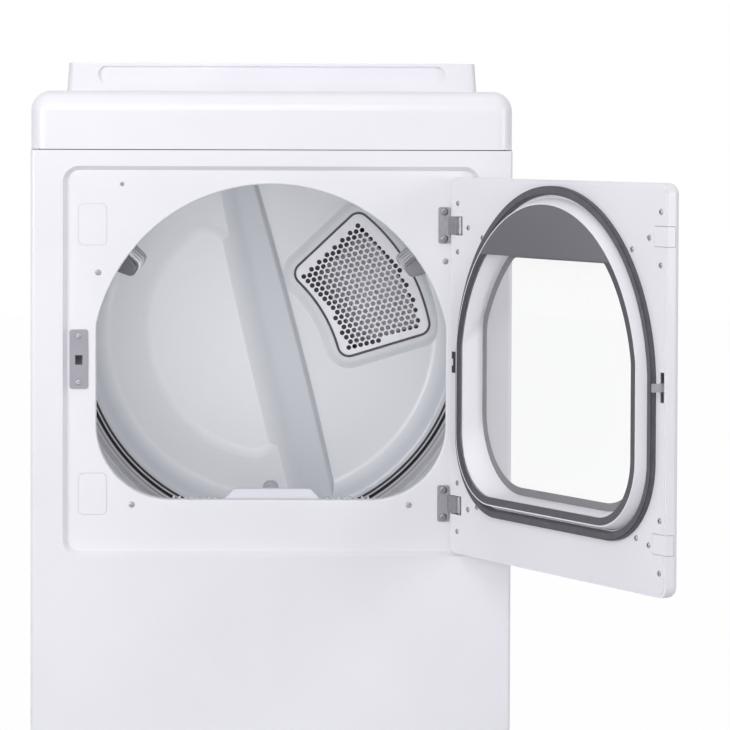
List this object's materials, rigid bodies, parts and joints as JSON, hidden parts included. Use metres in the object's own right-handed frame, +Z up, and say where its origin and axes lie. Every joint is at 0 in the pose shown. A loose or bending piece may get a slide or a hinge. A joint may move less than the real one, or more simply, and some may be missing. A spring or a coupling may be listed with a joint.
{
  "type": "clothes dryer",
  "caption": "Free-standing vented clothes dryer with a low rear console, a round-topped drum opening and a side-hinged window door standing open.",
  "frame": {"origin": "floor level at the centre of the four levelling feet", "axes": "+X to the right and +Y from front to back as seen from the front, +Z up"},
  "size_m": [0.8667, 1.2369, 1.035],
  "materials": {
    "body_enamel": "smooth white enamel",
    "zinc_steel": "zinc-coated sheet",
    "drum_enamel": "grey powder coat",
    "wall_enamel": "light grey coat",
    "white_plastic": "fine matt moulding",
    "grey_plastic": "matt moulding",
    "dark_plastic": "matt moulding",
    "seal_rubber": "matt rubber",
    "belt_rubber": "matt rubber",
    "felt": "pressed felt",
    "clear_glass": "clear float glass",
    "black_print": "printed ceramic border",
    "grille_enamel": "dark coat",
    "plated_steel": "nickel-plated steel",
    "motor_paint": "dark motor paint",
    "board_laminate": "green laminate",
    "display_tint": "smoked window"
  },
  "bodies": {
    "cabinet": {"front_panel": "body_enamel", "left_side_panel": "body_enamel", "right_side_panel": "body_enamel", "back_panel": "zinc_steel", "base_pan": "zinc_steel", "top_cap": "body_enamel", "console_housing": "white_plastic", "control_panel": "white_plastic", "display_window": "display_tint", "control_board": "board_laminate", "front_bulkhead": "wall_enamel", "felt_seals": "felt", "rear_bulkhead": "wall_enamel", "inlet_grille": "grille_enamel", "grille_seal": "seal_rubber", "heater_duct": "zinc_steel", "heater_coil": "plated_steel", "filter_housing": "white_plastic", "blower_housing": "grey_plastic", "exhaust_duct": "zinc_steel", "exhaust_stub": "zinc_steel", "motor": "motor_paint", "drive_brackets": "zinc_steel", "terminal_block": "dark_plastic", "sensor_bars": "plated_steel", "strike_plate": "grey_plastic", "door_switch": "grey_plastic", "hinge_brackets": "plated_steel", "body_covers": "white_plastic", "roller_axles": "plated_steel", "drive_belt": "belt_rubber"},
    "drum": {"drum_shell": "drum_enamel", "lifters": "grey_plastic"},
    "blower_rotor": {"motor_shaft": "plated_steel", "blower_wheel": "grey_plastic"},
    "idler_lever": {"idler_arm": "zinc_steel"},
    "idler_wheel": {"idler_pulley": "dark_plastic"},
    "left_roller": {"roller_left": "seal_rubber"},
    "right_roller": {"roller_right": "seal_rubber"},
    "door": {"door_skin": "body_enamel", "door_inner_panel": "body_enamel", "door_gasket": "seal_rubber", "window_bowl": "white_plastic", "inner_glass": "clear_glass", "inner_glass_border": "black_print", "outer_glass": "clear_glass", "outer_glass_border": "black_print", "door_slot_covers": "white_plastic", "door_plug": "dark_plastic", "hinge_clips": "plated_steel"},
    "latch": {"latch_hook": "grey_plastic"},
    "filter": {"lint_filter": "white_plastic"},
    "dial": {"program_dial": "grey_plastic"},
    "power": {"power_button": "grey_plastic"},
    "start": {"start_button": "grey_plastic"},
    "front_left_foot": {"foot_front_left": "dark_plastic"},
    "front_right_foot": {"foot_front_right": "dark_plastic"},
    "rear_left_foot": {"foot_rear_left": "dark_plastic"},
    "rear_right_foot": {"foot_rear_right": "dark_plastic"}
  },
  "joints": [
    {"name": "door_hinge", "type": "hinge", "parent": "cabinet", "child": "door", "pos_m": [0.27, -0.3547, 0.5955], "axis": [0, 0, 1], "range_deg": [-116.4, 28.6]},
    {"name": "latch_hook_pivot", "type": "hinge", "parent": "door", "child": "latch", "pos_m": [0.51166, -0.84152, 0.6], "axis": [0, 0, 1], "range_deg": [0, 6], "stiffness_Nm_per_rad": 0.5},
    {"name": "drum_spin", "type": "hinge", "parent": "cabinet", "child": "drum", "pos_m": [0, 0, 0.607], "axis": [0, 1, 0], "continuous": true},
    {"name": "motor_spin", "type": "hinge", "parent": "cabinet", "child": "blower_rotor", "pos_m": [-0.158, 0, 0.138], "axis": [0, 1, 0], "continuous": true},
    {"name": "idler_lever_swing", "type": "hinge", "parent": "cabinet", "child": "idler_lever", "pos_m": [0.148, 0.075, 0.25], "axis": [0, 1, 0], "range_deg": [0, 10], "stiffness_Nm_per_rad": 4, "springref_deg": -22.92},
    {"name": "idler_wheel_spin", "type": "hinge", "parent": "idler_lever", "child": "idler_wheel", "pos_m": [0.06, 0.075, 0.192], "axis": [0, 1, 0], "continuous": true},
    {"name": "left_roller_spin", "type": "hinge", "parent": "cabinet", "child": "left_roller", "pos_m": [-0.2201, 0.214, 0.32529], "axis": [0, 1, 0], "continuous": true},
    {"name": "right_roller_spin", "type": "hinge", "parent": "cabinet", "child": "right_roller", "pos_m": [0.2201, 0.214, 0.32529], "axis": [0, 1, 0], "continuous": true},
    {"name": "filter_pull", "type": "slide", "parent": "cabinet", "child": "filter", "axis": [0, 0, 1], "range_m": [0, 0.17]},
    {"name": "dial_turn", "type": "hinge", "parent": "cabinet", "child": "dial", "pos_m": [0.15, 0.305, 1.03], "axis": [0, 0, 1], "continuous": true},
    {"name": "power_press", "type": "slide", "parent": "cabinet", "child": "power", "axis": [0, 0, -1], "range_m": [0, 0.002], "stiffness_N_per_m": 400},
    {"name": "start_press", "type": "slide", "parent": "cabinet", "child": "start", "axis": [0, 0, -1], "range_m": [0, 0.002], "stiffness_N_per_m": 400},
    {"name": "front_left_foot_turn", "type": "hinge", "parent": "cabinet", "child": "front_left_foot", "pos_m": [-0.29, -0.3, 0.01], "axis": [0, 0, 1], "continuous": true},
    {"name": "front_right_foot_turn", "type": "hinge", "parent": "cabinet", "child": "front_right_foot", "pos_m": [0.29, -0.3, 0.01], "axis": [0, 0, 1], "continuous": true},
    {"name": "rear_left_foot_turn", "type": "hinge", "parent": "cabinet", "child": "rear_left_foot", "pos_m": [-0.29, 0.3, 0.01], "axis": [0, 0, 1], "continuous": true},
    {"name": "rear_right_foot_turn", "type": "hinge", "parent": "cabinet", "child": "rear_right_foot", "pos_m": [0.29, 0.3, 0.01], "axis": [0, 0, 1], "continuous": true}
  ],
  "couplings": [
    {"joint": "motor_spin", "follows": "drum_spin", "ratio": 22.8},
    {"joint": "idler_wheel_spin", "follows": "drum_spin", "ratio": 10.64},
    {"joint": "left_roller_spin", "follows": "drum_spin", "ratio": -8.4},
    {"joint": "right_roller_spin", "follows": "drum_spin", "ratio": -8.4}
  ]
}
